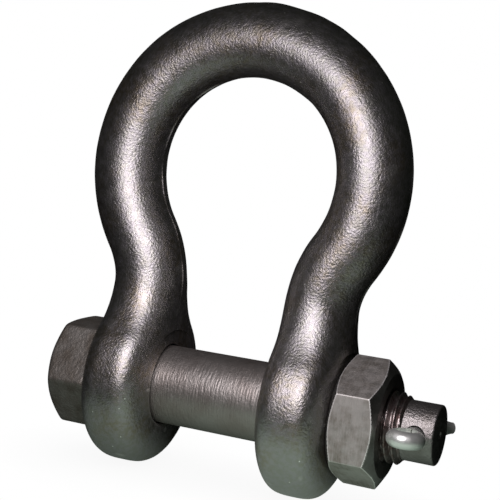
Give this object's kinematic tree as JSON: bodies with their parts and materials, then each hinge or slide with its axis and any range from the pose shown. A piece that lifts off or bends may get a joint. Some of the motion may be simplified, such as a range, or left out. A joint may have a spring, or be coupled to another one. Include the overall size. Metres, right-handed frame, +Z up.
{
  "type": "bow shackle",
  "caption": "Bow shackle: a forged omega-shaped bow with two eyes, closed by a hex-headed bolt, a hex nut and a split pin through the bolt's end.",
  "frame": {"origin": "middle of the bolt head's end face, on the bolt's axis", "axes": "+X along the bolt from its head to its threaded end, +Z up from the bolt to the crown of the bow, +Y across the bow"},
  "size_m": [0.2142, 0.0886, 0.2511],
  "materials": {
    "forged_steel": "dark self-coloured forged steel, fine shot-blasted grain",
    "bolt_steel": "brown-grey forged head, finely turned shank",
    "nut_steel": "satin grey machined steel",
    "zinc_wire": "bright zinc-plated wire"
  },
  "bodies": {
    "bow": {"bow": "forged_steel"},
    "bolt": {"bolt": "bolt_steel"},
    "nut": {"nut": "nut_steel"},
    "cotter_pin": {"cotter_pin": "zinc_wire"}
  },
  "joints": [
    {"name": "bolt_turn", "type": "hinge", "parent": "bow", "child": "bolt", "pos_m": [0, 0, 0], "axis": [-1, 0, 0], "range_deg": [0, 360]},
    {"name": "nut_travel", "type": "slide", "parent": "bow", "child": "nut", "axis": [1, 0, 0], "range_m": [0, 0.0041]},
    {"name": "cotter_slide", "type": "slide", "parent": "bolt", "child": "cotter_pin", "axis": [-0.0523, -0.9983, 0.0261], "range_m": [-0.002, 0.002]}
  ],
  "couplings": [
    {"joint": "nut_travel", "follows": "bolt_turn", "m_per_rad": 0.00063662}
  ]
}
